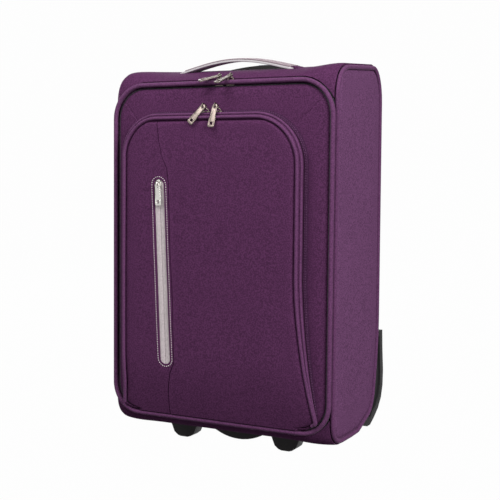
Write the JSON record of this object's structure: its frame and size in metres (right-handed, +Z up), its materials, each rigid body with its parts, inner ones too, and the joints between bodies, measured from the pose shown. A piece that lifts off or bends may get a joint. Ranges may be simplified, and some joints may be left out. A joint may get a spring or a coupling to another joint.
{
  "type": "softside upright suitcase",
  "caption": "Soft fabric cabin suitcase with a zipped lid and front pocket, carry handle, telescopic pull handle, rear wheels and front feet.",
  "frame": {"origin": "on the floor, midway across the case and midway between its frontmost pull and the back of its wheel housings", "axes": "+Z up, +X to the right seen from the front, +Y from the lid to the back"},
  "size_m": [0.348, 0.2236, 0.5534],
  "materials": {
    "wrap_fabric": "woven purple polyester over padding",
    "side_fabric": "woven purple polyester over padding",
    "piping": "woven purple tape over a cord",
    "lid_fabric": "woven purple polyester",
    "pocket_fabric": "woven purple polyester",
    "zip_tape": "dark woven tape and nylon coil",
    "side_zip_tape": "pale lilac-grey coated tape",
    "lining_cloth": "thin dark polyester",
    "webbing": "black webbing",
    "stiff_board": "honeycomb sheet",
    "spring_steel": "drawn wire",
    "black_plastic": "fine moulded grain",
    "housing_plastic": "fine moulded grain",
    "tube_aluminium": "anodised",
    "button_plastic": "satin grey",
    "handle_webbing": "pale lilac-grey webbing",
    "axle_steel": "zinc plated",
    "hub_plastic": "smooth grey",
    "tyre_rubber": "solid black polyurethane",
    "nickel": "plated zinc casting"
  },
  "bodies": {
    "case": {"side_panel_left": "side_fabric", "side_panel_right": "side_fabric", "side_piping_left": "piping", "side_piping_right": "piping", "top_panel": "wrap_fabric", "back_panel": "wrap_fabric", "bottom_panel": "wrap_fabric", "main_zip_body_tape": "zip_tape", "frame_wire": "spring_steel", "back_board": "stiff_board", "bottom_board": "stiff_board", "lining": "lining_cloth", "packing_straps": "webbing", "strap_buckle": "black_plastic", "handle_tray": "black_plastic", "outer_tubes": "tube_aluminium", "tube_foot": "black_plastic", "tube_clamps": "black_plastic", "carry_strap": "handle_webbing", "carry_covers": "wrap_fabric", "carry_plates": "black_plastic", "housing_left": "housing_plastic", "housing_right": "housing_plastic", "axle_left": "axle_steel", "axle_right": "axle_steel", "foot_left": "black_plastic", "foot_right": "black_plastic", "bottom_grip": "black_plastic", "screws": "axle_steel", "hinge_strip": "wrap_fabric"},
    "lid": {"lid_panel": "lid_fabric", "lid_piping": "piping", "main_zip_lid_tape": "zip_tape", "lid_lining": "lining_cloth", "mesh_pocket": "lining_cloth", "pocket_zip_lid_tape": "zip_tape"},
    "pocket_flap": {"pocket_panel": "pocket_fabric", "pocket_piping": "piping", "pocket_zip_flap_tape": "zip_tape", "side_zip_tape": "side_zip_tape", "side_pouch": "lining_cloth"},
    "handle_stage_1": {"mid_tubes": "tube_aluminium"},
    "handle_stage_2": {"inner_tubes": "tube_aluminium", "grip": "black_plastic"},
    "button": {"grip_button": "button_plastic"},
    "wheel_left": {"hub_left": "hub_plastic", "tyre_left": "tyre_rubber"},
    "wheel_right": {"hub_right": "hub_plastic", "tyre_right": "tyre_rubber"},
    "main_slider_left": {"main_slider_left": "nickel"},
    "main_slider_right": {"main_slider_right": "nickel"},
    "pocket_slider_left": {"pocket_slider_left": "nickel"},
    "pocket_slider_right": {"pocket_slider_right": "nickel"},
    "side_zip_slider": {"side_zip_slider": "nickel"},
    "main_pull_left": {"main_pull_left": "nickel"},
    "main_pull_right": {"main_pull_right": "nickel"},
    "pocket_pull_left": {"pocket_pull_left": "nickel"},
    "pocket_pull_right": {"pocket_pull_right": "nickel"},
    "side_zip_pull": {"side_zip_pull": "nickel"}
  },
  "joints": [
    {"name": "lid_hinge", "type": "hinge", "parent": "case", "child": "lid", "pos_m": [0, -0.08725, 0.036], "axis": [1, 0, 0], "range_deg": [0, 90]},
    {"name": "pocket_hinge", "type": "hinge", "parent": "lid", "child": "pocket_flap", "pos_m": [0, -0.09225, 0.0459], "axis": [-1, 0, 0], "range_deg": [-85, 0]},
    {"name": "handle_slide_1", "type": "slide", "parent": "case", "child": "handle_stage_1", "axis": [0, 0, 1], "range_m": [0, 0.24]},
    {"name": "handle_slide_2", "type": "slide", "parent": "handle_stage_1", "child": "handle_stage_2", "axis": [0, 0, 1], "range_m": [0, 0.24]},
    {"name": "button_press", "type": "slide", "parent": "handle_stage_2", "child": "button", "axis": [0, 0, -1], "range_m": [0, 0.0025], "stiffness_N_per_m": 600, "springref_m": -0.0005},
    {"name": "wheel_left_spin", "type": "hinge", "parent": "case", "child": "wheel_left", "pos_m": [-0.119, 0.07075, 0.027], "axis": [1, 0, 0], "continuous": true},
    {"name": "wheel_right_spin", "type": "hinge", "parent": "case", "child": "wheel_right", "pos_m": [0.119, 0.07075, 0.027], "axis": [1, 0, 0], "continuous": true},
    {"name": "main_zip_left", "type": "slide", "parent": "lid", "child": "main_slider_left", "axis": [-1, 0, 0], "range_m": [0, 0.112]},
    {"name": "main_zip_right", "type": "slide", "parent": "lid", "child": "main_slider_right", "axis": [1, 0, 0], "range_m": [0, 0.098]},
    {"name": "pocket_zip_left", "type": "slide", "parent": "pocket_flap", "child": "pocket_slider_left", "axis": [-1, 0, 0], "range_m": [0, 0.072]},
    {"name": "pocket_zip_right", "type": "slide", "parent": "pocket_flap", "child": "pocket_slider_right", "axis": [1, 0, 0], "range_m": [0, 0.052]},
    {"name": "side_zip", "type": "slide", "parent": "pocket_flap", "child": "side_zip_slider", "axis": [0.0454, 0, -0.999], "range_m": [0, 0.23]},
    {"name": "main_pull_left_swing", "type": "hinge", "parent": "main_slider_left", "child": "main_pull_left", "pos_m": [-0.0015, -0.08535, 0.523], "axis": [0, 0.4226, -0.9063], "range_deg": [-46, 54]},
    {"name": "main_pull_right_swing", "type": "hinge", "parent": "main_slider_right", "child": "main_pull_right", "pos_m": [0.0155, -0.08535, 0.523], "axis": [0, -0.4226, 0.9063], "range_deg": [-8, 110]},
    {"name": "pocket_pull_left_swing", "type": "hinge", "parent": "pocket_slider_left", "child": "pocket_pull_left", "pos_m": [-0.016, -0.10425, 0.4795], "axis": [0, 0.9659, -0.2588], "range_deg": [-36, 70]},
    {"name": "pocket_pull_right_swing", "type": "hinge", "parent": "pocket_slider_right", "child": "pocket_pull_right", "pos_m": [0.003, -0.10425, 0.4795], "axis": [0, -0.9659, 0.2588], "range_deg": [-12, 110]},
    {"name": "side_pull_swing", "type": "hinge", "parent": "side_zip_slider", "child": "side_zip_pull", "pos_m": [-0.08456, -0.10965, 0.37327], "axis": [-0.999, 0, -0.0454], "range_deg": [0, 150]}
  ]
}
